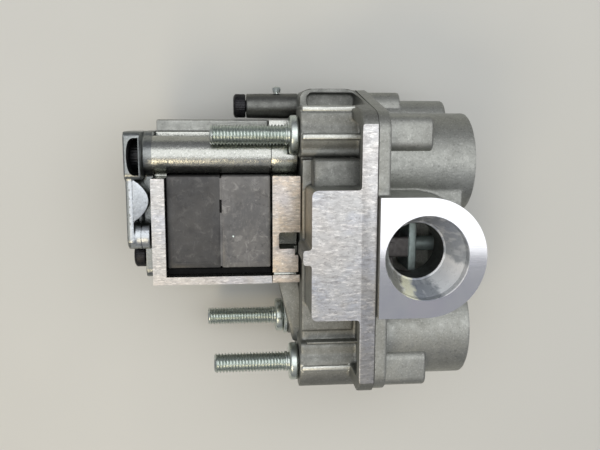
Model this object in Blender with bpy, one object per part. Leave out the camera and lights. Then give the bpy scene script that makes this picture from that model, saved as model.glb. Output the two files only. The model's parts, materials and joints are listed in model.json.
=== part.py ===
"""Solenoid diverter valve: one inlet, two outlets, three mounting studs.

The valve lies on its back. +X runs from the solenoid to the two outlets, +Y is across the valve and +Z
comes out of the inlet. All sizes below are in millimetres in the valve's own frame, whose X-Y origin is on
the inlet's centre plane; FRAME_SHIFT then puts the origin at the middle of the overall box, at its base.
"""
import math

import bmesh
import bpy

MM = 0.001
FRAME_SHIFT = (0.0, -1.8, 0.0)

# Clearance left between pieces that touch.
GAP = 0.3

# Lengthwise stations.
COVER_END = -65.7
COVER_FACE = -60.2
HOUSING_START = -56.1
WINDOW_START = -51.1
HOUSING_END = -11.0
BODY_START = 0.2
LUG_START = -0.5
FLANGE_START = 18.9
PARTING = 24.6
PORT_FLANGE_END = 29.3
OUTLET_END = 65.7

# Heights above the surface that the valve lies on.
INLET_FACE = 90.0
PAD_FACE = 86.5
FLANGE_TOP = 85.0
FRAME_TOP = 62.0
FRAME_BACK = 22.0
VALVE_Z = 49.0

# Axes along X: (y, z).
STUD_UPPER = (42.2, 58.0)
STUD_LOWER = (-47.5, 58.0)
STUD_REAR = (-40.6, 16.0)
TIE_SCREW = (53.5, 32.0)
BLEED_PLUG = (-7.3, TIE_SCREW[1])
COVER_SCREW_UPPER = (34.1, 49.0)
COVER_SCREW_LOWER = (-5.7, 45.0)
COVER_SCREW_REAR = (37.2, 29.5)
ADAPTER_SCREWS = {"upper": (22.0, 29.0), "lower": (-4.0, 29.0)}
OUTLET_UPPER = (31.1, VALVE_Z)
OUTLET_LOWER = (-34.9, VALVE_Z)
SOLENOID = (8.8, 42.0)

# Screws through the end cover: axis, head radius, shank radius and where the tip ends. The lower one is
# short, because the coils are behind it.
COVER_SCREWS = {
    "upper": (COVER_SCREW_UPPER, 6.5, 3.0, -2.6),
    "lower": (COVER_SCREW_LOWER, 4.8, 2.5, WINDOW_START - 0.6),
    "rear": (COVER_SCREW_REAR, 4.8, 2.5, -2.6),
}

# Inlet.
INLET_X = 41.9
INLET_BOSS_R = 21.4
INLET_BORE_R = 14.9
INLET_THROAT_R = 10.5
# The bore narrows in a cone, from INLET_CONE_TOP down to the throat's edge at INLET_STEP_Z.
INLET_CONE_TOP = 86.0
INLET_STEP_Z = 74.6
INLET_CONE_R = 10.9

# Outlets and seats.
OUTLET_UPPER_R = 19.5
OUTLET_LOWER_R = 21.0
OUTLET_BORE_R = 13.0
OUTLET_BORE_START = 53.0
SEAT_HOLE_R = 9.5
SEAT_FACE = 48.3
POPPET_R = 11.5
STEM_R = 2.5
LIFT = 4.0

# Rocker.
PIVOT = (36.5, -1.9)
ROCKER_X = (35.0, 38.0)
ROCKER_HALF_WIDTH = 5.0
SIDE_PLAY = 0.7

# Studs and screws.
STUD_R = 4.0
STUD_TIP_X = -34.0
STUD_REAR_TIP_X = -37.7
COLLAR_R = 7.35
COLLAR_LENGTH = 3.4
STUD_DEPTH = 38.0
STUD_BOSS_END = 48.7
STUD_HOLE_R = STUD_R + GAP

# Solenoid.
COIL_HALF_Y = 17.8
COIL_HALF_Z = 16.0
COIL_SPLIT = -30.3
CORE_TUBE_R = 8.0
CORE_TUBE_BORE_R = 7.2
PLUNGER_R = 6.8
POLE_FACE = -46.0
PLUNGER_START = -44.4
PLUNGER_END = -14.0

COLOURS = {
    "cast_aluminium": ((0.52, 0.53, 0.51), 0.45, 1.0),
    "bright_aluminium": ((0.72, 0.72, 0.73), 0.28, 1.0),
    "zinc_steel": ((0.62, 0.66, 0.62), 0.30, 1.0),
    "black_steel": ((0.02, 0.02, 0.022), 0.30, 0.6),
    "moulded_grey": ((0.12, 0.12, 0.125), 0.45, 0.0),
    "gasket_black": ((0.03, 0.03, 0.03), 0.80, 0.0),
    "copper": ((0.72, 0.36, 0.20), 0.30, 1.0),
    "steel": ((0.45, 0.46, 0.46), 0.32, 1.0),
    "brass": ((0.72, 0.56, 0.28), 0.30, 1.0),
    "seal_rubber": ((0.05, 0.045, 0.04), 0.70, 0.0),
    "bobbin_plastic": ((0.70, 0.68, 0.60), 0.50, 0.0),
}


def clear_scene():
    for obj in list(bpy.data.objects):
        bpy.data.objects.remove(obj, do_unlink=True)


def material(slot):
    found = bpy.data.materials.get(slot)
    if found:
        return found
    colour, roughness, metallic = COLOURS[slot]
    made = bpy.data.materials.new(slot)
    made.use_nodes = True
    shader = made.node_tree.nodes["Principled BSDF"]
    shader.inputs["Base Color"].default_value = (*colour, 1.0)
    shader.inputs["Roughness"].default_value = roughness
    shader.inputs["Metallic"].default_value = metallic
    made.diffuse_color = (*colour, 1.0)
    return made


def add_mesh(name, bm):
    """Turn a bmesh in millimetres into an object in metres."""
    bmesh.ops.recalc_face_normals(bm, faces=bm.faces)
    bmesh.ops.scale(bm, vec=(MM, MM, MM), verts=bm.verts)
    mesh = bpy.data.meshes.new(name)
    bm.to_mesh(mesh)
    bm.free()
    obj = bpy.data.objects.new(name, mesh)
    bpy.context.scene.collection.objects.link(obj)
    return obj


def place(axis, along, across, up):
    """A point from its distance along an axis and its two other coordinates in X, Y, Z order."""
    if axis == "X":
        return (along, across, up)
    if axis == "Y":
        return (across, along, up)
    return (across, up, along)


def prism(points, axis, start, end):
    """An outline drawn across an axis, extruded along it."""
    bm = bmesh.new()
    low = [bm.verts.new(place(axis, start, a, b)) for a, b in points]
    high = [bm.verts.new(place(axis, end, a, b)) for a, b in points]
    bm.faces.new(low)
    bm.faces.new(reversed(high))
    count = len(points)
    for i in range(count):
        j = (i + 1) % count
        bm.faces.new((low[i], high[i], high[j], low[j]))
    return add_mesh("shape", bm)


def block(x, y, z):
    return prism([(y[0], z[0]), (y[1], z[0]), (y[1], z[1]), (y[0], z[1])], "X", x[0], x[1])


def arc(centre, radius, start, end, steps):
    """Points on an arc, angles in degrees."""
    angles = [math.radians(start + (end - start) * i / steps) for i in range(steps + 1)]
    return [(centre[0] + radius * math.cos(a), centre[1] + radius * math.sin(a)) for a in angles]


def rounded_outline(a, b, radius, steps=5):
    """A rectangle's outline with its four corners rounded."""
    corners = (
        ((a[1] - radius, b[1] - radius), 0),
        ((a[0] + radius, b[1] - radius), 90),
        ((a[0] + radius, b[0] + radius), 180),
        ((a[1] - radius, b[0] + radius), 270),
    )
    points = []
    for centre, start in corners:
        points += arc(centre, radius, start, start + 90, steps)
    return points


def rounded_block(x, y, z, radius, steps=5):
    """A block whose edges along X are rounded."""
    return prism(rounded_outline(y, z, radius, steps), "X", x[0], x[1])


def turned(profile, centre, axis="X", segments=20, ring=False):
    """A profile of (along, radius) points turned about an axis.

    A solid's profile is closed off on the axis at both ends; a ring's profile closes on itself.
    """
    bm = bmesh.new()
    rows = []
    for along, radius in profile:
        row = []
        for i in range(segments):
            angle = 2 * math.pi * i / segments
            a = centre[0] + radius * math.cos(angle)
            b = centre[1] + radius * math.sin(angle)
            row.append(bm.verts.new(place(axis, along, a, b)))
        rows.append(row)
    pairs = list(zip(rows, rows[1:]))
    if ring:
        pairs.append((rows[-1], rows[0]))
    for first, second in pairs:
        for i in range(segments):
            j = (i + 1) % segments
            bm.faces.new((first[i], first[j], second[j], second[i]))
    if not ring:
        bm.faces.new(rows[0])
        bm.faces.new(rows[-1])
    return add_mesh("shape", bm)


def rod(centre, radius, start, end, axis="X", segments=20):
    return turned([(start, radius), (end, radius)], centre, axis, segments)


def tube(centre, inner, outer, start, end, axis="X", segments=20):
    profile = [(start, inner), (start, outer), (end, outer), (end, inner)]
    return turned(profile, centre, axis, segments, ring=True)


def hex_bar(centre, across_flats, start, end):
    """A six-sided bar along X."""
    radius = across_flats / math.sqrt(3)
    return prism(arc(centre, radius, 0, 300, 5), "X", start, end)


def helix(centre, radius, wire, start, end, turns, per_turn=8):
    """A coil of round wire along X, with its last half turns closed flat."""
    steps = turns * per_turn
    curve = bpy.data.curves.new("coil", "CURVE")
    curve.dimensions = "3D"
    curve.bevel_depth = wire * MM
    curve.bevel_resolution = 0
    curve.use_fill_caps = True
    spline = curve.splines.new("POLY")
    spline.points.add(steps)
    first = start + wire
    last = end - wire
    for i, point in enumerate(spline.points):
        angle = 2 * math.pi * i / per_turn
        x = first + (last - first) * i / steps
        y = centre[0] + radius * math.cos(angle)
        z = centre[1] + radius * math.sin(angle)
        point.co = (x * MM, y * MM, z * MM, 1.0)
    obj = bpy.data.objects.new("shape", curve)
    bpy.context.scene.collection.objects.link(obj)
    return obj


def combine(base, added=(), removed=()):
    """Join shapes to a base and cut others from it, and keep the result as the base's own mesh."""
    for operation, tools in (("UNION", added), ("DIFFERENCE", removed)):
        for tool in tools:
            modifier = base.modifiers.new("combine", "BOOLEAN")
            modifier.operation = operation
            modifier.solver = "EXACT"
            modifier.object = tool
    depsgraph = bpy.context.evaluated_depsgraph_get()
    result = bpy.data.meshes.new_from_object(base.evaluated_get(depsgraph))
    base.modifiers.clear()
    base.data = result
    for tool in (*added, *removed):
        bpy.data.objects.remove(tool, do_unlink=True)
    return base


def finish(obj, name, slot, root, smooth=False):
    """Name a shape as a node, give it its material and stand it in the valve's frame."""
    obj.name = name
    obj.data.name = name
    obj.data.materials.clear()
    obj.data.materials.append(material(slot))
    if smooth and obj.type == "MESH":
        obj.data.shade_smooth()
        obj.data.set_sharp_from_angle(angle=math.radians(35))
    obj.parent = root
    return obj


def drill(centre, radius, start, end, segments=16):
    return rod(centre, radius, start, end, "X", segments)


def make_main_body(root):
    """Left casting: stud lugs, flange, machined pad and the cavity behind the rocker."""
    flange_end = PARTING - 2 * GAP
    shape = block((BODY_START, FLANGE_START + 1), (-42.0, 40.0), (14.0, 72.0))
    added = [
        rounded_block((FLANGE_START, flange_end), (-51.4, 51.4), (0.0, PAD_FACE - 0.01), 8.0),
        rounded_block((1.6, flange_end - 0.01), (-22.7, 23.7), (60.0, PAD_FACE), 1.8, 3),
        block((-1.4, 3.0), (-2.5, 2.8), (66.0, PAD_FACE - 0.02)),
        block((BODY_START + 0.5, FLANGE_START + 1), (-25.0, 25.0), (0.0, 20.0)),
        rod(STUD_UPPER, 9.0, LUG_START, FLANGE_START + 1),
        rod(STUD_LOWER, 10.2, LUG_START, FLANGE_START + 1),
        rod(STUD_REAR, 8.5, LUG_START - 1.2, FLANGE_START + 1),
        block((LUG_START + 1, FLANGE_START + 1), (38.0, 58.9), (24.0, 40.0)),
        rod(TIE_SCREW, 5.2, -19.9, flange_end - 0.02),
    ]
    guides = [rod(axis, 5.5, BODY_START + 1, 14.0) for axis in (OUTLET_UPPER, OUTLET_LOWER)]
    removed = [block((4.0, PARTING + 1), (-39.5, 36.0), (39.0, 59.0))]
    holes = [drill(axis, STUD_HOLE_R, -30, 30) for axis in (STUD_UPPER, STUD_LOWER, STUD_REAR)]
    holes.append(drill(TIE_SCREW, 3.0 + GAP, -30, 30))
    holes.append(drill(SOLENOID, 5.0 + GAP, -5, 10))
    holes += [drill(axis, 2.5 + GAP, -5, 12.5) for axis in ADAPTER_SCREWS.values()]
    holes.append(rod(BLEED_PLUG, 0.8 + GAP, 55.0, 60.0, "Y", 14))
    sockets = [drill(axis, STEM_R + GAP, 4.5, 30) for axis in (OUTLET_UPPER, OUTLET_LOWER)]
    combine(shape, added, removed)
    combine(shape, guides, holes + sockets)
    finish(shape, "main_body", "cast_aluminium", root)


def inlet_outline(radius, left):
    """The inlet boss seen from above: straight sides and a round end towards the outlets."""
    centre = (INLET_X, 0.0)
    return [(left, -radius), *arc(centre, radius, -90, 90, 20), (left, radius)]


def inlet_profile():
    """Bore, cone and throat of the inlet, from the gallery up through the face."""
    return [
        (VALVE_Z, INLET_THROAT_R),
        (INLET_STEP_Z, INLET_THROAT_R),
        (INLET_STEP_Z, INLET_CONE_R),
        (INLET_CONE_TOP, INLET_BORE_R),
        (INLET_FACE + 1, INLET_BORE_R),
    ]


def make_port_body(root):
    """Right casting: the inlet boss, the valve gallery and both outlet barrels."""
    start = PARTING + 2 * GAP
    shape = rounded_block((start, PORT_FLANGE_END), (-51.4, 51.4), (0.0, FLANGE_TOP), 8.0)
    added = [
        rod(OUTLET_UPPER, OUTLET_UPPER_R, start + 0.5, OUTLET_END, segments=36),
        rod(OUTLET_LOWER, OUTLET_LOWER_R, start + 0.6, OUTLET_END - 0.2, segments=36),
        block((start + 0.7, 62.0), (-30.0, 27.0), (31.0, 67.0)),
        prism(inlet_outline(INLET_BOSS_R, start), "Z", 45.0, INLET_FACE),
        rod(STUD_UPPER, 7.5, start + 0.8, STUD_BOSS_END),
        rod(STUD_LOWER, 7.7, start + 0.9, STUD_BOSS_END - 0.3),
        rounded_block((start + 1.3, STUD_BOSS_END - 0.02), (36.0, 49.6), (56.0, 70.0), 4.0, 4),
        rounded_block((start + 1.4, STUD_BOSS_END - 0.32), (-55.0, -40.2), (56.0, 70.5), 4.0, 4),
        rod(STUD_REAR, 7.5, start + 1.0, 45.0),
        rod(TIE_SCREW, 5.8, start - 0.01, 43.6),
        rod((47.0, 31.0), 9.0, start + 1.1, 62.5),
        block((start + 1.2, 40.0), (-37.0, 45.0), (14.0, 34.0)),
    ]
    gallery = [
        block((start - 1, 50.6), (-46.7, 43.0), (36.8, 61.2)),
        block((start - 1, 57.8), (-13.0, 10.0), (36.0, 62.0)),
        turned(inlet_profile(), (INLET_X, 0.0), "Z", 40),
        drill((PIVOT[1], VALVE_Z), 3.0 + GAP, 50, 62.5),
    ]
    for axis in (OUTLET_UPPER, OUTLET_LOWER):
        gallery.append(drill(axis, SEAT_HOLE_R + 0.6, 45, OUTLET_END + 1, 28))
        gallery.append(drill(axis, OUTLET_BORE_R, OUTLET_BORE_START, OUTLET_END + 1, 28))
    for axis in (STUD_UPPER, STUD_LOWER, STUD_REAR):
        gallery.append(drill(axis, STUD_HOLE_R, 20, STUD_DEPTH + 0.5))
    gallery.append(drill(TIE_SCREW, 3.0 + GAP, 20, 41.0))
    combine(shape, added)
    combine(shape, (), gallery)
    finish(shape, "port_body", "cast_aluminium", root)


def make_body_gasket(root):
    """Sheet gasket between the two castings, open over the gallery."""
    shape = rounded_block((PARTING - GAP, PARTING + GAP), (-51.0, 51.0), (0.4, FLANGE_TOP - 0.4), 7.6)
    holes = [block((PARTING - 2, PARTING + 2), (-41.0, 37.0), (37.0, 61.0))]
    holes += [drill(axis, STUD_HOLE_R, 20, 30) for axis in (STUD_UPPER, STUD_LOWER, STUD_REAR)]
    holes.append(drill(TIE_SCREW, 3.0 + GAP + 0.2, 20, 30))
    combine(shape, (), holes)
    finish(shape, "body_gasket", "gasket_black", root)


def housing_outline(x):
    """Blocks and the screw tube that make the solenoid housing's section, over a stretch of X."""
    return [
        block(x, (-14.5, 27.0), (FRAME_BACK, FRAME_TOP)),
        block((x[0] + 0.01, x[1] - 0.01), (26.0, 47.9), (FRAME_BACK + 0.01, 37.0)),
        block((x[0] + 0.02, x[1] - 0.02), (26.5, 40.0), (34.0, VALVE_Z)),
        rod(COVER_SCREW_UPPER, 7.5, x[0] + 0.03, x[1] - 0.03, segments=24),
    ]


def cover_screw_holes(start, end):
    """Clearance holes for the cover screws that reach past a start, each no deeper than its screw."""
    holes = []
    for axis, head, shank, tip in COVER_SCREWS.values():
        if tip > start:
            holes.append(drill(axis, shank + GAP, start, min(end, tip + 2 * GAP)))
    return holes


def make_solenoid_housing(root):
    """Cast frame round the coils: end wall, floor, back wall and the long screw tube."""
    shape, *added = housing_outline((HOUSING_START, HOUSING_END))
    window = block((WINDOW_START, HOUSING_END + 1), (-11.7, 26.9), (25.5, FRAME_TOP + 1))
    holes = [drill(SOLENOID, 3.8, HOUSING_START - 1, WINDOW_START + 1)]
    holes += cover_screw_holes(HOUSING_START - 1, HOUSING_END + 1)
    combine(shape, added)
    combine(shape, [], [window, *holes])
    finish(shape, "solenoid_housing", "cast_aluminium", root)


def make_adapter(root):
    """Machined block between the solenoid housing and the main body."""
    span = (HOUSING_END + GAP, BODY_START - GAP)
    shape, *added = housing_outline(span)
    short = span[1] + (LUG_START - GAP - span[1])
    slot = block((-9.0, 1.0), (-1.1, 5.1), (54.0, FRAME_TOP + 1))
    lug_room = block((short, 1.0), (33.0, 60.0), (20.0, 70.0))
    collar_room = rod(STUD_UPPER, COLLAR_R + 0.4, LUG_START - GAP - COLLAR_LENGTH - 0.5, 1.0)
    holes = [drill(SOLENOID, CORE_TUBE_R + GAP, span[0] - 1, -5.0)]
    holes.append(drill(SOLENOID, 4.6 + GAP, -6.0, 1.0))
    holes += cover_screw_holes(span[0] - 1, -2.0)
    holes += [drill(axis, 2.5 + GAP, span[0] - 1, 1.0) for axis in ADAPTER_SCREWS.values()]
    holes += [drill(axis, 4.6 + GAP, span[0] - 1, -6.0) for axis in ADAPTER_SCREWS.values()]
    combine(shape, added)
    combine(shape, [], [slot, lug_room, collar_room, *holes])
    finish(shape, "adapter_block", "bright_aluminium", root)


def make_end_cover(root):
    """Cast cover over the solenoid's end: a low plate with a box round the upper screw's head, an outer
    wall with a web behind it, and a round lug."""
    inner = HOUSING_START - GAP
    wall = COVER_END + 0.4
    plate_top = 50.0
    lug = (3.8, 55.5)
    shape = rounded_block((COVER_FACE, inner), (-14.5, 43.4), (FRAME_BACK, plate_top), 3.5, 4)
    added = [
        rod(COVER_SCREW_UPPER, 7.5, COVER_FACE + 0.1, inner - 0.05, segments=24),
        rounded_block((COVER_END, COVER_FACE + 0.5), (25.5, 43.4), (44.0, FRAME_TOP - 0.1), 2.5, 4),
        rounded_block((wall, wall + 2.4), (2.0, 27.5), (44.0, FRAME_TOP - 1.0), 1.0, 2),
        block((wall + 1.2, inner - 0.7), (9.5, 21.0), (44.0, FRAME_TOP - 4.0)),
        block((wall + 1.3, COVER_FACE + 0.7), (-0.5, 26.5), (44.0, plate_top - 0.4)),
        rod(lug, 5.2, wall, inner - 0.6),
    ]
    pocket = rod(COVER_SCREW_UPPER, 6.5 + GAP, COVER_END - 1, COVER_FACE)
    mouth = block((COVER_END + 1.4, COVER_FACE), (27.4, 40.8), (49.0, 70.0))
    holes = cover_screw_holes(COVER_END - 1, inner + 1)
    combine(shape, added)
    combine(shape, [], [pocket, mouth, *holes])
    finish(shape, "end_cover", "cast_aluminium", root)


def screw_profile(head_r, head_length, shank_r, face, tip, socket_r, socket_depth):
    """Socket-head screw along X: head to the left of the face, shank to the right."""
    top = face - head_length
    chamfer = 0.6
    return [
        (top + socket_depth, 0.05),
        (top + socket_depth, socket_r),
        (top, socket_r),
        (top, head_r - chamfer),
        (top + chamfer, head_r),
        (face, head_r),
        (face, shank_r),
        (tip - chamfer, shank_r),
        (tip, shank_r - chamfer),
    ]


def make_screws(root):
    """Three screws through the end cover, the long tie screw and two adapter screws."""
    face = COVER_FACE - GAP
    for place_name, (axis, head, shank, tip) in COVER_SCREWS.items():
        profile = screw_profile(head, 4.4, shank, face, tip, 2.4, 2.4)
        finish(turned(profile, axis, segments=18), "cover_screw_" + place_name, "black_steel", root, True)
    profile = screw_profile(4.8, 5.0, 3.0, -19.9 - GAP, 40.4, 2.4, 2.6)
    finish(turned(profile, TIE_SCREW, segments=18), "tie_screw", "black_steel", root, True)
    for place_name, axis in ADAPTER_SCREWS.items():
        profile = screw_profile(4.3, 4.0, 2.5, -6.0 - GAP, 11.0, 2.0, 2.2)
        finish(turned(profile, axis, segments=16), "adapter_screw_" + place_name, "zinc_steel", root, True)


def make_stud(root, name, axis, tip, seat, end):
    """Double-ended stud: a long free end, a round collar on the lug and a plain end in the casting."""
    point = 0.9
    profile = [
        (tip, STUD_R - point),
        (tip + point, STUD_R),
        (seat - COLLAR_LENGTH, STUD_R),
        (seat - COLLAR_LENGTH, COLLAR_R - 0.5),
        (seat - COLLAR_LENGTH + 0.5, COLLAR_R),
        (seat - 0.5, COLLAR_R),
        (seat, COLLAR_R - 0.5),
        (seat, STUD_R),
        (end - point, STUD_R),
        (end, STUD_R - point),
    ]
    finish(turned(profile, axis, segments=18), name, "zinc_steel", root, True)


def make_studs(root):
    seat = LUG_START - GAP
    make_stud(root, "stud_upper", STUD_UPPER, STUD_TIP_X, seat, STUD_DEPTH)
    make_stud(root, "stud_lower", STUD_LOWER, STUD_TIP_X + 0.3, seat, STUD_DEPTH)
    rear_seat = LUG_START - 1.2 - GAP
    washer = (rear_seat - 1.6, rear_seat)
    make_stud(root, "stud_rear", STUD_REAR, STUD_REAR_TIP_X, washer[0] - GAP, STUD_DEPTH)
    ring = tube(STUD_REAR, STUD_R + GAP, 8.4, washer[0], washer[1], segments=18)
    finish(ring, "stud_rear_washer", "zinc_steel", root, True)


def make_coil(root, side, x):
    """One coil: moulded case open on its left, flux washer, bobbin and copper winding inside."""
    y = (SOLENOID[0] - COIL_HALF_Y, SOLENOID[0] + COIL_HALF_Y)
    z = (SOLENOID[1] - COIL_HALF_Z, SOLENOID[1] + COIL_HALF_Z)
    case = block(x, y, z)
    cavity = drill(SOLENOID, 14.9, x[0] - 1, x[1] - 2.0, 24)
    bore = drill(SOLENOID, 9.0, x[0] - 1, x[1] + 1, 20)
    slots = []
    for offset in (-5.0, 5.0):
        middle = (x[0] + x[1]) / 2
        low = SOLENOID[0] + offset
        slots.append(block((middle - 3.4, middle + 3.4), (low - 0.7, low + 0.7), (20.0, 27.4)))
    combine(case, [], [cavity, bore, *slots])
    finish(case, "coil_case_" + side, "moulded_grey", root)
    washer = tube(SOLENOID, 8.3, 14.5, x[0] + 0.1, x[0] + 1.5)
    finish(washer, "flux_washer_" + side, "steel", root, True)
    spool_start = x[0] + 1.8
    spool_end = x[1] - 2.3
    profile = [
        (spool_start, 8.3),
        (spool_start, 14.5),
        (spool_start + 1.0, 14.5),
        (spool_start + 1.0, 9.3),
        (spool_end - 1.0, 9.3),
        (spool_end - 1.0, 14.5),
        (spool_end, 14.5),
        (spool_end, 8.3),
    ]
    finish(turned(profile, SOLENOID, ring=True), "bobbin_" + side, "bobbin_plastic", root, True)
    winding = tube(SOLENOID, 9.6, 14.2, spool_start + 1.0 + GAP, spool_end - 1.0 - GAP)
    finish(winding, "winding_" + side, "copper", root, True)


def make_terminals(root, side, x):
    """Two blade terminals that stand in slots in the back of a coil case, inside the housing."""
    middle = (x[0] + x[1]) / 2
    for number, offset in ((1, -5.0), (2, 5.0)):
        y = SOLENOID[0] + offset
        blade = block((middle - 3.1, middle + 3.1), (y - 0.4, y + 0.4), (25.7, 27.1))
        finish(blade, "terminal_" + side + "_" + str(number), "brass", root)


def make_solenoid(root):
    spans = {
        "left": (WINDOW_START + GAP, COIL_SPLIT - 0.15),
        "right": (COIL_SPLIT + 0.15, HOUSING_END - GAP),
    }
    for side, x in spans.items():
        make_coil(root, side, x)
    cushion = block((WINDOW_START + GAP, HOUSING_END - GAP), (-11.4, -9.3), (40.0, 57.0))
    finish(cushion, "coil_cushion", "gasket_black", root)
    core = tube(SOLENOID, CORE_TUBE_BORE_R, CORE_TUBE_R, WINDOW_START + GAP, -5.3)
    finish(core, "core_tube", "steel", root, True)
    pole = [
        (HOUSING_START + GAP, 3.5),
        (WINDOW_START + GAP, 3.5),
        (WINDOW_START + GAP, 6.9),
        (POLE_FACE, 6.9),
        (POLE_FACE, 3.2),
        (POLE_FACE - 3.0, 3.2),
    ]
    finish(turned(pole, SOLENOID, segments=18), "pole_piece", "steel", root, True)
    spring = helix(SOLENOID, 2.5, 0.35, POLE_FACE - 3.0 + GAP, PLUNGER_START + 6.0 - GAP, 6)
    finish(spring, "return_spring", "steel", root)


def make_rod_set(root):
    """Plunger with the pull rod that hooks the rocker."""
    plunger = [
        (PLUNGER_START + 6.0, 0.05),
        (PLUNGER_START + 6.0, 3.2),
        (PLUNGER_START, 3.2),
        (PLUNGER_START, PLUNGER_R),
        (PLUNGER_END, PLUNGER_R),
        (PLUNGER_END, 2.0 + GAP),
        (PLUNGER_END - 10.0, 2.0 + GAP),
        (PLUNGER_END - 10.0, 0.05),
    ]
    finish(turned(plunger, SOLENOID, segments=24), "plunger", "steel", root, True)
    collar_end = ROCKER_X[0] - SIDE_PLAY
    nut_start = ROCKER_X[1] + SIDE_PLAY
    pull_rod = [
        (PLUNGER_END - 9.7, 2.0),
        (collar_end - 1.5, 2.0),
        (collar_end - 1.5, 4.0),
        (collar_end, 4.0),
        (collar_end, 2.0),
        (nut_start + 3.2, 2.0),
    ]
    finish(turned(pull_rod, SOLENOID, segments=20), "pull_rod", "zinc_steel", root, True)
    nut = hex_bar(SOLENOID, 7.0, nut_start, nut_start + 2.4)
    combine(nut, [], [drill(SOLENOID, 2.0 + 0.05, 30, 50, 20)])
    finish(nut, "rod_nut", "zinc_steel", root)
    bush = tube(SOLENOID, 2.0 + 0.15, 5.0, BODY_START, 6.0, segments=18)
    finish(bush, "rod_bush", "brass", root, True)
    seal = tube(SOLENOID, 2.0 + 0.1, 4.6, -4.6, BODY_START - GAP - 0.5, segments=18)
    finish(seal, "rod_seal", "seal_rubber", root, True)


def make_poppet(root, side, axis, shift):
    """One valve poppet with its rubber face, nut and clip, shifted along X from its closed place."""
    disc_start = 44.0 + shift
    disc_end = disc_start + 2.0
    seal_start = disc_end + GAP
    seal_end = SEAT_FACE - GAP + shift
    collar = ROCKER_X[1] + SIDE_PLAY
    profile = [
        (9.0, STEM_R),
        (collar, STEM_R),
        (collar, 4.2),
        (collar + 1.2, 4.2),
        (collar + 1.2, STEM_R + 0.5),
        (disc_start, STEM_R + 0.6),
        (disc_start, POPPET_R),
        (disc_end, POPPET_R),
        (disc_end, 3.4),
        (disc_end + 5.0, 3.4),
    ]
    finish(turned(profile, axis, segments=22), side + "_poppet", "bright_aluminium", root, True)
    seal = tube(axis, 3.4 + 0.1, POPPET_R - 0.4, seal_start, seal_end, segments=22)
    finish(seal, side + "_seal", "seal_rubber", root, True)
    nut = hex_bar(axis, 10.0, seal_end + GAP, seal_end + GAP + 2.4)
    combine(nut, [], [drill(axis, 3.4 + 0.1, seal_end - 2, seal_end + 8, 24)])
    finish(nut, side + "_nut", "zinc_steel", root)
    clip_end = ROCKER_X[0] - SIDE_PLAY
    clip = tube(axis, STEM_R + 0.1, 4.8, clip_end - 1.5, clip_end, segments=16)
    finish(clip, side + "_clip", "zinc_steel", root, True)
    seat = tube(axis, SEAT_HOLE_R - 1.0, SEAT_HOLE_R + 0.3, SEAT_FACE, OUTLET_BORE_START - 0.2, segments=22)
    finish(seat, side + "_seat", "brass", root, True)


def make_rocker(root):
    """Beam on a fixed pin: the pull rod tilts it and it moves both poppets opposite ways."""
    low = VALVE_Z - ROCKER_HALF_WIDTH
    high = VALVE_Z + ROCKER_HALF_WIDTH
    beam = rounded_block(ROCKER_X, (OUTLET_LOWER[0] - 5.2, OUTLET_UPPER[0] + 5.2), (low, high), 2.5, 3)
    added = [
        rounded_block((ROCKER_X[0] + 0.01, ROCKER_X[1] - 0.01), (3.8, 13.8), (38.2, low + 1), 1.5, 3),
        rod(PIVOT, 4.2, low + 2.0, high - 2.0, "Z", 24),
    ]
    removed = [drill(SOLENOID, 2.9, 30, 45)]
    removed += [drill(axis, STEM_R + 0.9, 30, 45) for axis in (OUTLET_UPPER, OUTLET_LOWER)]
    removed.append(rod(PIVOT, 2.0 + 0.15, low - 5, high + 5, "Z", 24))
    combine(beam, added)
    combine(beam, [], removed)
    finish(beam, "rocker", "zinc_steel", root)
    pin = rod(PIVOT, 2.0, 39.5, 58.5, "Z", 24)
    finish(pin, "rocker_pin", "steel", root, True)
    bracket = block((43.4, 46.6), (-11.5, 8.0), (40.3, 57.7))
    ears = []
    for z in ((40.0, 43.0), (55.0, 58.0)):
        ears.append(block((32.5, 44.0), (PIVOT[1] - 4.0, PIVOT[1] + 4.0), z))
    post = rod((PIVOT[1], VALVE_Z), 3.0, 46.0, 61.5, "X", 24)
    holes = [rod(PIVOT, 2.0 + 0.05, 38, 60, "Z", 24)]
    combine(bracket, [*ears, post])
    combine(bracket, [], holes)
    finish(bracket, "rocker_bracket", "zinc_steel", root)


def make_valve(root):
    make_rocker(root)
    make_poppet(root, "upper", OUTLET_UPPER, 0.0)
    make_poppet(root, "lower", OUTLET_LOWER, -LIFT)
    clip_start = ROCKER_X[0] - SIDE_PLAY - 1.5
    spring = helix(OUTLET_UPPER, 3.8, 0.5, 14.0 + GAP, clip_start - GAP, 7)
    finish(spring, "upper_spring", "steel", root)


def make_small_pieces(root):
    """Bleed plug on the tie screw's tube, and the gasket sheets at the solenoid's two ends."""
    plug = [(57.3, 0.8), (59.0, 0.8), (59.0, 1.7), (60.8, 1.7), (61.3, 1.2)]
    finish(turned(plug, BLEED_PLUG, "Y", 14), "bleed_plug", "zinc_steel", root, True)


def main():
    clear_scene()
    root = bpy.data.objects.new("valve_frame", None)
    bpy.context.scene.collection.objects.link(root)
    root.location = [value * MM for value in FRAME_SHIFT]
    make_main_body(root)
    make_port_body(root)
    make_body_gasket(root)
    make_solenoid_housing(root)
    make_adapter(root)
    make_end_cover(root)
    make_screws(root)
    make_studs(root)
    make_solenoid(root)
    for side, x in (("left", (WINDOW_START, COIL_SPLIT)), ("right", (COIL_SPLIT, HOUSING_END))):
        make_terminals(root, side, x)
    make_rod_set(root)
    make_valve(root)
    make_small_pieces(root)


main()
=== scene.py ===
"""The looks of the solenoid diverter valve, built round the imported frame.

Shapes are drawn in millimetres in the valve's own coordinates: X and Z are the frame's, and Y is counted from
the inlet's centre plane. add() turns them into metres and puts that plane where the frame has it.
"""
import json
import math

import bmesh
import bpy
import numpy as np
from mathutils import Matrix, Vector


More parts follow.
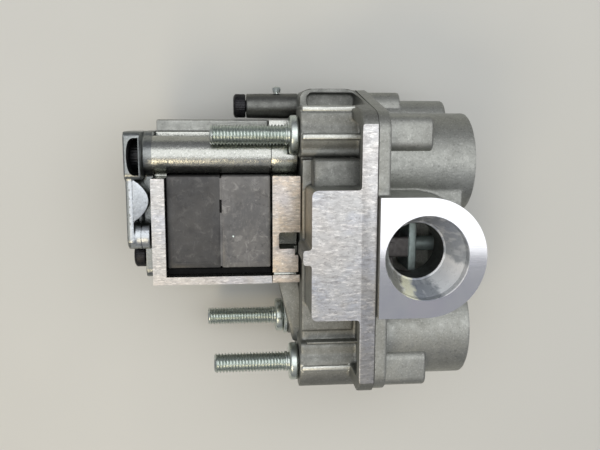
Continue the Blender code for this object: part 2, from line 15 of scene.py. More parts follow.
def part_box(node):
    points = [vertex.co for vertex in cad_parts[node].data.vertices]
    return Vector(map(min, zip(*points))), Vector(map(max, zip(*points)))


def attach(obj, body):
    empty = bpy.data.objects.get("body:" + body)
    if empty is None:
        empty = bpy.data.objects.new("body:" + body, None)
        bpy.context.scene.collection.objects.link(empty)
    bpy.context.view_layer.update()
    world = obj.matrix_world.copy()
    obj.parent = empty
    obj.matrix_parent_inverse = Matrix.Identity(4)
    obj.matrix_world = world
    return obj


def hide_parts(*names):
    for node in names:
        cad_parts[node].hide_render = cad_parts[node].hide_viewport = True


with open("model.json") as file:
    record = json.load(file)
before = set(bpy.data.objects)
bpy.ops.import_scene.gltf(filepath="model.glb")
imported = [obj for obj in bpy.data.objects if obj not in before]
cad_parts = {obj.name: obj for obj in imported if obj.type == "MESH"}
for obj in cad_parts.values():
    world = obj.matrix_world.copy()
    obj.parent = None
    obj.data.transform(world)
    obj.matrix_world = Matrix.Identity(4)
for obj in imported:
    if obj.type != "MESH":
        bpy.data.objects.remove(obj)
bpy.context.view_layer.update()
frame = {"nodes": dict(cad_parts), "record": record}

MM = 0.001
RECORD = frame["record"]
BODY = "valve_body"
OPENINGS = {entry["name"]: entry["box_m"] for entry in RECORD["physics"]["openings"]}

INLET = [(low + high) / 2 / MM for low, high in zip(*OPENINGS["inlet_bore"])]
MID_Y = INLET[1]
INLET_AXIS = (INLET[0], 0.0)


def box(node):
    """A node's corners in the valve's own millimetres."""
    low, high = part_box(node)
    shift = Vector((0, MID_Y, 0))
    return Vector(low) / MM - shift, Vector(high) / MM - shift


def axis_of(node):
    """The (y, z) of a piece that is turned about X."""
    low, high = box(node)
    return ((low.y + high.y) / 2, (low.z + high.z) / 2)


# Places and levels, read from the frame.
STUDS = {node: axis_of(node) for node in ("stud_upper", "stud_lower", "stud_rear")}
SCREWS = {
    node: axis_of(node)
    for node in ("cover_screw_upper", "cover_screw_lower", "cover_screw_rear", "tie_screw")
}
STUD_UPPER = STUDS["stud_upper"]
STUD_LOWER = STUDS["stud_lower"]
STUD_REAR = STUDS["stud_rear"]
COVER_UPPER = SCREWS["cover_screw_upper"]
TIE = SCREWS["tie_screw"]
SOLENOID = axis_of("core_tube")
POST = (axis_of("rocker_pin")[0], axis_of("rocker_bracket")[1])
OUTLET_UPPER = axis_of("upper_seat")
OUTLET_LOWER = axis_of("lower_seat")
HOUSING_LOW, HOUSING_HIGH = box("solenoid_housing")
COVER_LOW, COVER_HIGH = box("end_cover")
ADAPTER_LOW, ADAPTER_HIGH = box("adapter_block")
GASKET_LOW, GASKET_HIGH = box("body_gasket")
PORT_LOW, PORT_HIGH = box("port_body")
PAD_Z = box("main_body")[1].z
INLET_Z = PORT_HIGH.z
FRAME_Z = HOUSING_HIGH.z
OUTLET_END = PORT_HIGH.x

# Sizes shared by the castings.
JOINT_GAP = 0.02
MAIN_END = GASKET_LOW.x - JOINT_GAP
PORT_START = GASKET_HIGH.x + JOINT_GAP
FLANGE_START = 18.9
PORT_FLANGE_END = PORT_LOW.x + 4.1
LUG_START = -0.5
STUD_HOLE = 4.3
SCREW_HOLE = 3.3
TUBE_RADIUS = 7.5
# A tube that is joined on crisp stands this much proud of the soft one below it.
PROUD = 0.02
# The inlet's bore narrows in a cone to its throat.
BORE_RADIUS = 14.9
THROAT_RADIUS = 10.5
CONE_Z = INLET_Z - 4.0
THROAT_Z = INLET_Z - 15.4
# Each outlet has a wide bore down to this station, and a narrower one inside it for the seat.
OUTLET_BORE = 13.0
SEAT_BORE = 10.1
SEAT_X = 53.0

# Stock left on a casting past its machined planes, so that the cut edges are crisp.
SPARE = 2.4
# How far a cutter reaches past the plane that it cuts, and its spans right across the valve.
PAST = 20.0
ACROSS = (-80.0, 80.0)
UPWARDS = (-10.0, 120.0)
# A face belongs to a machined plane when it lies this near to it.
TOUCH = 0.02
VOXEL = 0.5
ROUNDS = 5


# ---------------------------------------------------------------- shapes


def place(axis, along, a, b):
    """A point from its station along an axis and its two coordinates across it."""
    if axis == "X":
        return (along, a, b)
    if axis == "Y":
        return (a, along, b)
    return (a, b, along)


def new_object(name, data):
    """An object of some data, in the scene."""
    obj = bpy.data.objects.new(name, data)
    bpy.context.scene.collection.objects.link(obj)
    return obj


def add(name, bm):
    """A bmesh in the valve's millimetres becomes an object in the frame's metres."""
    bmesh.ops.recalc_face_normals(bm, faces=bm.faces)
    bmesh.ops.scale(bm, vec=(MM, MM, MM), verts=bm.verts)
    mesh = bpy.data.meshes.new(name)
    bm.to_mesh(mesh)
    bm.free()
    obj = new_object(name, mesh)
    obj.location = (0, MID_Y * MM, 0)
    return obj


def prism(points, axis, start, end):
    """An outline across an axis, extruded along it."""
    bm = bmesh.new()
    low = [bm.verts.new(place(axis, start, *p)) for p in points]
    high = [bm.verts.new(place(axis, end, *p)) for p in points]
    bm.faces.new(low)
    bm.faces.new(reversed(high))
    for i, corner in enumerate(low):
        j = (i + 1) % len(low)
        bm.faces.new((corner, high[i], high[j], low[j]))
    return add("shape", bm)


def skin(grid, ring=False):
    """A tube through rows of points, with flat ends, or closed on itself as a ring."""
    bm = bmesh.new()
    rows = [[bm.verts.new(point) for point in row] for row in grid]
    pairs = list(zip(rows, rows[1:]))
    if ring:
        pairs.append((rows[-1], rows[0]))
    for first, second in pairs:
        for i, corner in enumerate(first):
            j = (i + 1) % len(first)
            bm.faces.new((corner, first[j], second[j], second[i]))
    if not ring:
        bm.faces.new(rows[0])
        bm.faces.new(rows[-1])
    return add("shape", bm)


def block(x, y, z):
    """A box between two stations along each axis."""
    return prism([(y[0], z[0]), (y[1], z[0]), (y[1], z[1]), (y[0], z[1])], "X", x[0], x[1])


def arc(centre, radius, start, end, steps):
    """Points along an arc between two angles in degrees."""
    angles = [math.radians(start + (end - start) * i / steps) for i in range(steps + 1)]
    return [(centre[0] + radius * math.cos(a), centre[1] + radius * math.sin(a)) for a in angles]


def rounded_outline(a, b, radius, steps=6):
    """A rectangle with round corners, from its spans both ways."""
    corners = (
        ((a[1] - radius, b[1] - radius), 0),
        ((a[0] + radius, b[1] - radius), 90),
        ((a[0] + radius, b[0] + radius), 180),
        ((a[1] - radius, b[0] + radius), 270),
    )
    points = []
    for centre, start in corners:
        points += arc(centre, radius, start, start + 90, steps)
    return points


def slab(a, b, radius, axis, start, end, steps=6):
    """A prism with round corners."""
    return prism(rounded_outline(a, b, radius, steps), axis, start, end)


def hull_outline(circles, steps=72):
    """The tight outline round a set of (y, z, radius) circles."""
    points = []
    for a, b, radius in circles:
        points += arc((a, b), radius, 0, 360, steps)[:-1]
    points = sorted(set((round(p[0], 6), round(p[1], 6)) for p in points))

    def half(ordered):
        """One side of the hull, from the first point to the last."""
        chain = []
        for p in ordered:
            while len(chain) > 1:
                (ax, ay), (bx, by) = chain[-2], chain[-1]
                if (bx - ax) * (p[1] - ay) - (by - ay) * (p[0] - ax) > 1e-9:
                    break
                chain.pop()
            chain.append(p)
        return chain[:-1]

    return half(points) + half(points[::-1])


def turned_row(along, radius, centre, axis="X", segments=40, edge=None):
    """Points round an axis; an edge function of the angle scales the radius, for hexagons and knurls."""
    row = []
    for i in range(segments):
        angle = 2 * math.pi * i / segments
        r = radius * (edge(angle) if edge else 1.0)
        across = (centre[0] + r * math.cos(angle), centre[1] + r * math.sin(angle))
        row.append(place(axis, along, *across))
    return row


def lathe(rows, centre, axis="X", segments=48, ring=False):
    """Rows of (along, radius) or (along, radius, edge) turned about an axis."""
    grid = []
    for along, radius, *edge in rows:
        grid.append(turned_row(along, radius, centre, axis, segments, *edge))
    return skin(grid, ring)


def rod(centre, radius, start, end, axis="X", segments=48):
    """A plain cylinder between two stations."""
    return lathe([(start, radius), (end, radius)], centre, axis, segments)


def hexagon(angle):
    """Radius of a hexagon of unit apothem at an angle."""
    step = math.pi / 3
    return 1.0 / math.cos((angle + step / 2) % step - step / 2)


def knurl(angle):
    """Radius of a finely ridged edge at an angle."""
    return 1.0 + 0.018 * math.cos(36 * angle)


def evaluated(obj):
    """Replace an object's mesh by what its modifiers make of it."""
    depsgraph = bpy.context.evaluated_depsgraph_get()
    mesh = bpy.data.meshes.new_from_object(obj.evaluated_get(depsgraph))
    obj.modifiers.clear()
    obj.data = mesh
    return obj


def boolean(obj, tools, operation="DIFFERENCE", solver="EXACT"):
    """Apply other shapes to one, and remove them."""
    for tool in tools:
        step = obj.modifiers.new("boolean", "BOOLEAN")
        step.operation = operation
        step.solver = solver
        step.object = tool
    evaluated(obj)
    for tool in tools:
        bpy.data.objects.remove(tool, do_unlink=True)
    return obj


def cast(solids, cuts=(), voxel=None, rounds=None):
    """Pour solids into one casting: joined, cored out and given the soft edges of a die casting."""
    base = solids[0]
    boolean(base, solids[1:], "UNION")
    if cuts:
        boolean(base, cuts)
    remesh = base.modifiers.new("remesh", "REMESH")
    remesh.mode = "VOXEL"
    remesh.voxel_size = (voxel or VOXEL) * MM
    soften = base.modifiers.new("soften", "SMOOTH")
    soften.factor = 0.5
    soften.iterations = rounds or ROUNDS
    return evaluated(base)


def machine(obj, tools):
    """Cut machined faces and bores into a casting, which leaves their edges sharp."""
    return boolean(obj, tools, "DIFFERENCE", "MANIFOLD")


def join(obj, solids):
    """Add crisp ribs and bosses to a casting."""
    return boolean(obj, solids, "UNION", "MANIFOLD")


def rib(x, y, z, radius):
    """A cast rib or pad with softened edges."""
    return soften_edges(block(x, y, z), radius, 3)


def soften_edges(obj, width, segments=2, angle=30):
    """Round every edge that turns by more than an angle."""
    bevel = obj.modifiers.new("bevel", "BEVEL")
    bevel.width = width * MM
    bevel.segments = segments
    bevel.limit_method = "ANGLE"
    bevel.angle_limit = math.radians(angle)
    return evaluated(obj)


def between(values, low, high):
    """Which values lie between two others."""
    return (values > low) & (values < high)


def from_axis(a, b, axis):
    """How far points lie from an axis, seen along it."""
    return np.hypot(a - axis[0], b - axis[1])


def cut_flat(height):
    """A rule that picks the faces left flat by a cutter at a height."""

    def rule(x, y, z, normal):
        return (normal[:, 2] > 0.99) & (np.abs(z - height) < TOUCH)

    return rule


def faces_where(obj, rule):
    """Which faces pass a rule of their centre's x, y and z, in the valve's millimetres, and their normal."""
    count = len(obj.data.polygons)
    centres = np.empty(count * 3)
    normals = np.empty(count * 3)
    obj.data.polygons.foreach_get("center", centres)
    obj.data.polygons.foreach_get("normal", normals)
    x, y, z = (centres.reshape(-1, 3) / MM).T
    return rule(x, y, z, normals.reshape(-1, 3))


def piece(obj, name, materials, node=None, rules=(), body=BODY, sharp=32):
    """Name a finished shape, paint it, and hand it to the frame."""
    obj.name = name
    obj.data.name = name
    obj.data.materials.clear()
    for entry in materials:
        obj.data.materials.append(entry)
    index = np.zeros(len(obj.data.polygons), dtype=np.int32)
    for number, rule in enumerate(rules, start=1):
        index[faces_where(obj, rule)] = number
    obj.data.polygons.foreach_set("material_index", index)
    obj.data.shade_smooth()
    obj.data.set_sharp_from_angle(angle=math.radians(sharp))
    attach(obj, body)
    if node:
        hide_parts(*([node] if isinstance(node, str) else node))
    return obj


# ---------------------------------------------------------------- materials


def map_range(tree, value, low, high, start, end):
    """Remap a value from low..high to start..end."""
    node = tree.nodes.new("ShaderNodeMapRange")
    for socket, number in (("From Min", low), ("From Max", high), ("To Min", start), ("To Max", end)):
        node.inputs[socket].default_value = number
    tree.links.new(value, node.inputs["Value"])
    return node.outputs["Result"]


class Paint:
    """A node material built step by step on object coordinates, so it moves with its piece."""

    def __init__(self, name, colour, metallic, roughness):
        self.material = bpy.data.materials.new(name)
        self.material.use_nodes = True
        self.tree = self.material.node_tree
        self.shader = self.tree.nodes["Principled BSDF"]
        self.shader.inputs["Metallic"].default_value = metallic
        self.coordinates = self.tree.nodes.new("ShaderNodeTexCoord")
        self.colour = self.rgb(colour)
        self.roughness = roughness
        self.height = None

    def rgb(self, colour):
        node = self.tree.nodes.new("ShaderNodeRGB")
        node.outputs[0].default_value = (*colour, 1.0)
        return node.outputs[0]

    def link(self, output, socket):
        self.tree.links.new(output, socket)

    def mapped(self, scale):
        mapping = self.tree.nodes.new("ShaderNodeMapping")
        mapping.inputs["Scale"].default_value = scale
        self.link(self.coordinates.outputs["Object"], mapping.inputs["Vector"])
        return mapping.outputs["Vector"]

    def noise(self, scale, detail=3.0, roughness=0.5, stretch=(1, 1, 1), distortion=0.0):
        """Noise whose scale is in features per millimetre."""
        node = self.tree.nodes.new("ShaderNodeTexNoise")
        node.inputs["Scale"].default_value = scale / MM
        node.inputs["Detail"].default_value = detail
        node.inputs["Roughness"].default_value = roughness
        node.inputs["Distortion"].default_value = distortion
        self.link(self.mapped(stretch), node.inputs["Vector"])
        return node.outputs["Fac"]

    def ramp(self, value, low, high, start=0.0, end=1.0):
        return map_range(self.tree, value, low, high, start, end)

    def turn(self, centre, wobble):
        """How far round an upright axis a point lies, from 0 to 1, with a wobble added."""
        mapping = self.tree.nodes.new("ShaderNodeMapping")
        mapping.inputs["Location"].default_value = (-centre[0], -centre[1], 0.0)
        self.link(self.coordinates.outputs["Object"], mapping.inputs["Vector"])
        gradient = self.tree.nodes.new("ShaderNodeTexGradient")
        gradient.gradient_type = "RADIAL"
        self.link(mapping.outputs["Vector"], gradient.inputs["Vector"])
        total = self.tree.nodes.new("ShaderNodeMath")
        self.link(gradient.outputs["Fac"], total.inputs[0])
        self.link(wobble, total.inputs[1])
        return total.outputs["Value"]

    def stops(self, value, entries):
        """A colour for each stretch of a value."""
        node = self.tree.nodes.new("ShaderNodeValToRGB")
        elements = node.color_ramp.elements
        while len(elements) < len(entries):
            elements.new(0.5)
        for element, entry in zip(elements, entries):
            element.position = entry[0]
        for element, entry in zip(elements, entries):
            element.color = (*entry[1], 1.0)
        self.link(value, node.inputs["Fac"])
        return node.outputs["Color"]

    def mix(self, factor, colour):
        """Blend a colour over what is there."""
        node = self.tree.nodes.new("ShaderNodeMix")
        node.data_type = "RGBA"
        self.link(factor, node.inputs["Factor"])
        self.link(self.colour, node.inputs["A"])
        node.inputs["B"].default_value = (*colour, 1.0)
        self.colour = node.outputs["Result"]

    def cloud(self, noise, low, high, amount, colour):
        """Blend a colour in where a noise is high."""
        self.mix(self.ramp(noise, low, high, 0.0, amount), colour)

    def vary_roughness(self, value, low, high):
        """Let the roughness follow a noise."""
        self.roughness = self.ramp(value, 0.3, 0.7, low, high)

    def bump(self, value, depth):
        """Add relief, its depth in millimetres."""
        node = self.tree.nodes.new("ShaderNodeBump")
        node.inputs["Strength"].default_value = 1.0
        node.inputs["Distance"].default_value = depth * MM
        self.link(value, node.inputs["Height"])
        if self.height:
            self.link(self.height, node.inputs["Normal"])
        self.height = node.outputs["Normal"]

    def done(self):
        """Connect what was built to the shader."""
        self.link(self.colour, self.shader.inputs["Base Color"])
        if isinstance(self.roughness, float):
            self.shader.inputs["Roughness"].default_value = self.roughness
        else:
            self.link(self.roughness, self.shader.inputs["Roughness"])
        if self.height:
            self.link(self.height, self.shader.inputs["Normal"])
        return self.material


def cast_metal(name, shade, roughness=(0.34, 0.52), tint=(1.0, 1.0, 1.0)):
    """Die-cast aluminium as it leaves the die: matte, grainy, a little mottled."""

    def toned(*values):
        return tuple(value * shade * part for value, part in zip(values, tint))

    paint = Paint(name, toned(0.42, 0.43, 0.40), 1.0, 0.5)
    paint.cloud(paint.noise(0.09, 4, 0.6), 0.35, 0.7, 0.55, toned(0.32, 0.325, 0.30))
    paint.cloud(paint.noise(1.6, 2, 0.5), 0.55, 0.8, 0.6, toned(0.70, 0.70, 0.67))
    paint.cloud(paint.noise(1.1, 3, 0.6), 0.54, 0.72, 0.55, toned(0.22, 0.225, 0.21))
    paint.cloud(paint.noise(0.5, 5, 0.7), 0.58, 0.78, 0.5, toned(0.20, 0.205, 0.19))
    paint.vary_roughness(paint.noise(0.35, 3), *roughness)
    paint.bump(paint.noise(1.3, 3, 0.6), 0.07)
    paint.bump(paint.noise(0.25, 2), 0.10)
    return paint.done()


def milled_metal(name, base=(0.46, 0.46, 0.455), warmth=0.22, matte=0.0):
    """A face skimmed by a coarse cutter: bright and speckled, with short marks along X and faint stains."""
    usual_green = 0.46

    def toned(*values):
        return tuple(value * base[1] / usual_green for value in values)

    paint = Paint(name, base, 1.0, 0.35)
    paint.cloud(paint.noise(0.06, 2), 0.50, 0.66, 0.4, toned(0.38, 0.42, 0.52))
    paint.cloud(paint.noise(0.045, 2, distortion=0.6), 0.5, 0.66, warmth, toned(0.62, 0.52, 0.42))
    paint.cloud(paint.noise(0.45, 5, 0.7, (0.6, 1.4, 1)), 0.48, 0.62, 0.65, toned(0.29, 0.285, 0.28))
    paint.cloud(paint.noise(1.0, 4, 0.7, (0.4, 1.5, 1)), 0.52, 0.66, 0.55, toned(0.88, 0.86, 0.82))
    paint.cloud(paint.noise(1.3, 3, 0.7, (0.6, 1.3, 1)), 0.56, 0.68, 0.6, toned(0.20, 0.195, 0.19))
    paint.vary_roughness(paint.noise(0.7, 4, 0.6, (0.6, 1.4, 1)), 0.28 + matte, 0.46 + matte)
    paint.bump(paint.noise(1.2, 4, 0.65, (0.5, 1.4, 1)), 0.035)
    return paint.done()


def faced_metal():
    """The inlet's sealing face: fly-cut to a clean satin mirror."""
    paint = Paint("faced_aluminium", (0.62, 0.625, 0.64), 1.0, 0.2)
    paint.cloud(paint.noise(0.12, 3), 0.45, 0.75, 0.5, (0.54, 0.55, 0.60))
    paint.cloud(paint.noise(0.05, 2, distortion=0.5), 0.5, 0.7, 0.4, (0.62, 0.57, 0.64))
    paint.vary_roughness(paint.noise(0.8, 3, 0.5, (0.2, 2.2, 1)), 0.07, 0.11)
    paint.bump(paint.noise(2.2, 2, 0.5, (0.12, 2.0, 1)), 0.002)
    return paint.done()


def bored_metal():
    """The inlet's bore: turned, with painted reflections in broad light and dark sectors that run down its
    wall.

    The sectors' places round the bore are chosen to look like the reflections of its surroundings.
    """
    paint = Paint("bored_aluminium_painted_reflections", (0.5, 0.5, 0.5), 0.08, 0.3)
    wobble = paint.ramp(paint.noise(0.25, 3, 0.6), 0.0, 1.0, -0.035, 0.035)
    turn = paint.turn((INLET[0] * MM, 0.0), wobble)
    # painted reflections: the pale and warm yellow sectors are painted highlights of the lamps, the dark ones
    # painted reflections of the dark room
    sectors = (
        (0.00, (0.24, 0.25, 0.25)),
        (0.15, (0.34, 0.34, 0.30)),
        (0.17, (0.98, 0.98, 0.74)),
        (0.21, (0.98, 0.98, 0.76)),
        (0.23, (0.30, 0.33, 0.37)),
        (0.31, (0.36, 0.39, 0.42)),
        (0.33, (0.86, 0.89, 0.90)),
        (0.46, (0.96, 0.97, 0.98)),
        (0.48, (0.40, 0.43, 0.46)),
        (0.62, (0.32, 0.35, 0.41)),
        (0.80, (0.16, 0.17, 0.18)),
        (1.00, (0.24, 0.25, 0.25)),
    )
    paint.colour = paint.stops(turn, sectors)
    # painted highlights: pale streaks running down the bore's wall
    paint.cloud(paint.noise(0.5, 3, 0.5, (1, 1, 0.1)), 0.5, 0.62, 0.35, (0.80, 0.82, 0.84))
    paint.vary_roughness(paint.noise(0.5, 2), 0.24, 0.36)
    paint.bump(paint.noise(3.0, 1, 0.4, (0.02, 0.02, 1.5)), 0.006)
    return paint.done()


def zinc_steel():
    """Zinc plating, passivated with a faint green tint."""
    paint = Paint("zinc_steel", (0.56, 0.61, 0.575), 1.0, 0.3)
    paint.cloud(paint.noise(0.4, 3), 0.45, 0.7, 0.5, (0.42, 0.47, 0.435))
    paint.cloud(paint.noise(1.5, 2), 0.6, 0.8, 0.5, (0.72, 0.74, 0.72))
    paint.vary_roughness(paint.noise(0.8, 3), 0.24, 0.40)
    paint.bump(paint.noise(2.0, 2), 0.012)
    return paint.done()


def black_steel():
    """Blackened socket screws: dark, faintly glossy."""
    paint = Paint("black_steel", (0.012, 0.012, 0.014), 0.6, 0.3)
    paint.cloud(paint.noise(0.8, 4), 0.55, 0.8, 0.5, (0.05, 0.05, 0.055))
    paint.vary_roughness(paint.noise(0.7, 3), 0.22, 0.42)
    paint.bump(paint.noise(1.8, 2), 0.015)
    return paint.done()


def moulded_grey(name, tone):
    """A coil's potting compound: dark and clouded, with scuffs and smudges left by handling."""

    def toned(*values):
        return tuple(tone * value for value in values)

    paint = Paint(name, (tone, tone, tone), 0.0, 0.42)
    paint.cloud(paint.noise(0.07, 4, 0.6), 0.4, 0.7, 0.8, toned(1.9, 1.85, 1.75))
    paint.cloud(paint.noise(0.12, 3, 0.6), 0.52, 0.7, 0.7, toned(0.55, 0.55, 0.6))
    paint.cloud(paint.noise(0.45, 5, 0.7), 0.52, 0.74, 0.5, toned(2.6, 2.5, 2.4))
    paint.cloud(paint.noise(0.7, 3, 0.6, (2.5, 0.35, 1)), 0.60, 0.76, 0.4, toned(3.0, 3.0, 3.0))
    paint.cloud(paint.noise(0.28, 4, 0.7, distortion=0.8), 0.56, 0.66, 0.35, toned(4.0, 3.9, 3.7))
    paint.cloud(paint.noise(0.33, 4, 0.7, distortion=0.8), 0.58, 0.66, 0.5, toned(0.4, 0.4, 0.4))
    paint.vary_roughness(paint.noise(0.25, 4), 0.30, 0.52)
    paint.bump(paint.noise(0.9, 4), 0.03)
    return paint.done()


def rubber(name, colour):
    """Dull sealing material with a faint speck."""
    paint = Paint(name, colour, 0.0, 0.75)
    paint.shader.inputs["Specular IOR Level"].default_value = 0.12
    speck = tuple(value * 2.2 + 0.004 for value in colour)
    paint.cloud(paint.noise(1.5, 3), 0.5, 0.8, 0.5, speck)
    paint.vary_roughness(paint.noise(0.6, 3), 0.62, 0.85)
    paint.bump(paint.noise(1.5, 3), 0.02)
    return paint.done()


def inner_metal(name, colour, metallic=1.0, roughness=0.35):
    """Pieces that are only glimpsed through the bores."""
    paint = Paint(name, colour, metallic, roughness)
    darker = tuple(value * 0.7 for value in colour)
    paint.cloud(paint.noise(0.5, 3), 0.4, 0.7, 0.6, darker)
    paint.vary_roughness(paint.noise(0.8, 2), roughness * 0.8, roughness * 1.25)
    paint.bump(paint.noise(1.8, 2), 0.01)
    return paint.done()


PORT_CAST = cast_metal("cast_aluminium", 0.92, (0.46, 0.60))
DULL_CAST = cast_metal("dull_cast_aluminium", 0.65, (0.50, 0.66))
# a darker copy of the cast metal, for the tie screw's tube
TUBE_CAST = cast_metal("dark_tube_cast_aluminium", 0.37)
FRAME_CAST = cast_metal("frame_cast_aluminium", 1.0, (0.20, 0.30))
COVER_CAST = cast_metal("cover_cast_aluminium", 0.62, (0.26, 0.40), (0.95, 0.99, 1.05))
# painted highlight: a brighter copy of the cast metal for the crests of the ribs
RIB_HIGHLIGHT_CAST = cast_metal("rib_highlight_cast_aluminium", 1.3, (0.34, 0.48))
# painted light: a brighter, bluer copy of the cover's cast metal for the upward faces of its web
WEB_LIT_CAST = cast_metal("web_painted_light_aluminium", 1.25, (0.30, 0.42), (0.94, 0.98, 1.10))
MILLED = milled_metal("milled_aluminium")
WARM_MILLED = milled_metal("warm_milled_aluminium", (0.60, 0.53, 0.45), 0.6, 0.18)
# a darker copy of the milled face, for the flange's machined rim beside the pad
DARKER_MILLED = milled_metal("darker_milled_aluminium", (0.29, 0.285, 0.28), 0.22, 0.12)
FACED = faced_metal()
BORED = bored_metal()
ZINC = zinc_steel()
BLACK = black_steel()
# painted light: the gallery's walls are made brighter than the outside castings to stand in for light that
# does not reach that deep
GALLERY_LIT_CAST = cast_metal("gallery_painted_light_aluminium", 1.5, (0.5, 0.7))
# painted shade: a much darker copy of the cast metal deep in the inlet's throat
THROAT_SHADE_CAST = cast_metal("throat_painted_shade_aluminium", 0.22, (0.5, 0.7))
# painted shade: a darker copy of the cast metal for the walls and floor of the adapter's slot
SLOT_SHADE_CAST = cast_metal("slot_painted_shade_aluminium", 0.36, (0.5, 0.7), (0.95, 1.0, 0.92))
WARM_CAST = cast_metal("warm_cast_aluminium", 0.9, (0.4, 0.55), (1.07, 0.98, 0.86))
RIM_CAST = cast_metal("rim_cast_aluminium", 0.84, (0.46, 0.62))
COILS = {
    "left": moulded_grey("moulded_grey", 0.035),
    "right": moulded_grey("moulded_grey_pale", 0.10),
}
RUBBER = rubber("gasket_black", (0.006, 0.006, 0.006))


# ---------------------------------------------------------------- castings


def flange_circles(top):
    """Corner circles of the flange: the one by the tie screw stands out further than the others."""
    corner = 8.0
    reach = 51.4 - corner
    return [
        (reach, top - corner, corner),
        (-reach, top - corner, corner),
        (-reach, corner, corner),
        (reach, corner, corner),
        (TIE[0] - 0.5, TIE[1] + 4.0, 7.0),
    ]


def thin_flange():
    """Cutters beside the pad that leave the flange's web thin and its rim thick."""
    rim_width = 5.8
    web_end = 21.8
    inner = [(y, z, radius - rim_width) for y, z, radius in flange_circles(PAD_Z + 0.6)]
    cutters = []
    for span in ((24.4, ACROSS[1]), (ACROSS[0], -23.4)):
        cutter = prism(hull_outline(inner), "X", FLANGE_START - 0.6, web_end)
        boolean(cutter, [block((10, 30), span, (62.0, 100.0))], "INTERSECT")
        cutters.append(cutter)
    return cutters


def gusset():
    """Tapered web above the rear stud, from beside the pad to the lower lug."""
    outline = [(-8.4, -14.8), (0.0, -15.5), (4.0, -40.0), (1.8, -42.6), (-2.2, -41.0)]
    wall = prism(outline, "Z", STUD_REAR[1] + 8.2, 52.0)
    return soften_edges(wall, 0.6, 3)


def main_body():
    """Left casting: the flange with its machined rim and pad, three stud lugs and the rear lug.

    Some ends are staggered by a tenth, to keep them out of one plane.
    """
    wall = 0.4
    pad = (-22.7, 23.7)
    flange = prism(hull_outline(flange_circles(PAD_Z + 0.6)), "X", FLANGE_START, MAIN_END + SPARE)
    solids = [
        block((wall, 20.0), (-33.0, 33.0), (14.0, 64.0)),
        boolean(flange, thin_flange()),
        # pad with its small step, and the foot of the body
        slab((1.6, MAIN_END + SPARE), pad, 2.0, "Z", 58.0, PAD_Z + SPARE),
        slab((-1.4, 3.5), (-2.5, 2.8), 0.6, "Z", 66.0, PAD_Z + SPARE),
        block((wall + 0.6, 20.0), (-25.0, 25.0), (0.0, 20.0)),
        # upper stud lug: two boxes side by side round the stud's hole
        rod(STUD_UPPER, 8.6, LUG_START, 23.0),
        slab((43.5, 51.6), (46.0, 65.8), 2.0, "X", LUG_START, 23.5),
        slab((34.2, 41.5), (46.0, 65.0), 1.6, "X", LUG_START + 0.1, 23.4),
        block((wall, 20.0), (32.0, 44.0), (40.0, 60.0)),
        # lower stud lug
        rod(STUD_LOWER, 9.9, LUG_START, 23.0),
        slab((-46.6, -37.4), (40.0, 66.4), 1.8, "X", LUG_START + 0.1, 23.4),
        block((wall, 23.0), (-38.0, -21.0), (40.0, 63.4)),
        # rear stud lug
        rod(STUD_REAR, 8.5, LUG_START - 1.2, 20.0),
        slab((0.6, 24.0), (40.0, 60.0), 4.6, "Z", 22.0, 48.0),
    ]
    ribs = [
        ((LUG_START + 0.4, 23.2), (50.7, 53.1), (44.0, 65.2)),
        ((LUG_START + 0.3, 23.3), (40.4, 42.9), (50.0, 68.2)),
        ((LUG_START + 0.4, 23.2), (-48.4, -46.0), (50.0, 68.4)),
    ]
    tray = slab((3.6, 23.4), (52.4, 58.5), 2.6, "Z", 42.0, 70.0)
    shape = cast(solids, [tray])
    join(
        shape,
        [
            *[rib(*sizes, 0.8) for sizes in ribs],
            rib((3.7, 22.4), (23.0, 33.6), (50.0, 72.0), 1.2),
            rib((2.0, 23.4), (-37.9, -36.9), (50.0, 66.9), 0.4),
            gusset(),
        ],
    )
    gallery = block((wall + 3.6, MAIN_END + 1), (-39.5, 36.0), (39.0, 59.0))
    tools = [
        block((-30, 40), ACROSS, (PAD_Z, PAD_Z + PAST)),
        block((MAIN_END, MAIN_END + PAST), ACROSS, UPWARDS),
        gallery,
    ]
    tools += [rod(axis, STUD_HOLE, -30, 40) for axis in STUDS.values()]
    tools.append(rod(SOLENOID, 5.3, -20, 12))
    machine(shape, tools)

    machined = cut_flat(PAD_Z)

    def flange_edge(x, y, z, normal):
        beside_pad = np.abs(y) > pad[1]
        return machined(x, y, z, normal) & (x > FLANGE_START) & beside_pad

    def end_wall(x, y, z, normal):
        across = between(y, 3.2, 24.5)
        return across & (normal[:, 0] < -0.4) & (x < 3.0) & (z > 50.0)

    # painted highlight along the upward-facing top of each rib
    def rib_crest_highlight(x, y, z, normal):
        found = np.zeros(len(x), dtype=bool)
        for length, width, height in ribs:
            across = between(y, width[0] - 0.05, width[1] + 0.05)
            found |= across & (x < length[1]) & between(z, height[1] - 1.5, height[1] + 0.05)
        return found & (normal[:, 2] > 0.2)

    materials = [DULL_CAST, MILLED, DARKER_MILLED, RIB_HIGHLIGHT_CAST, WARM_CAST]
    rules = [machined, flange_edge, rib_crest_highlight, end_wall]
    piece(shape, "main_body_casting", materials, "main_body", rules)


def tie_screw_tube():
    """Tube on the main body that the tie screw runs through."""
    inside = 3.4
    rows = [(-19.9, inside), (-19.9, 4.6), (-19.5, 4.9), (-8.0, 5.1), (1.0, 5.2), (1.0, inside)]
    piece(lathe(rows, TIE, ring=True), "tie_screw_tube", [TUBE_CAST])


def inlet_outline(radius, left):
    """The inlet boss from above: round on the right, square on the left."""
    return [(left, -radius), *arc(INLET_AXIS, radius, -90, 90, 40), (left, radius)]


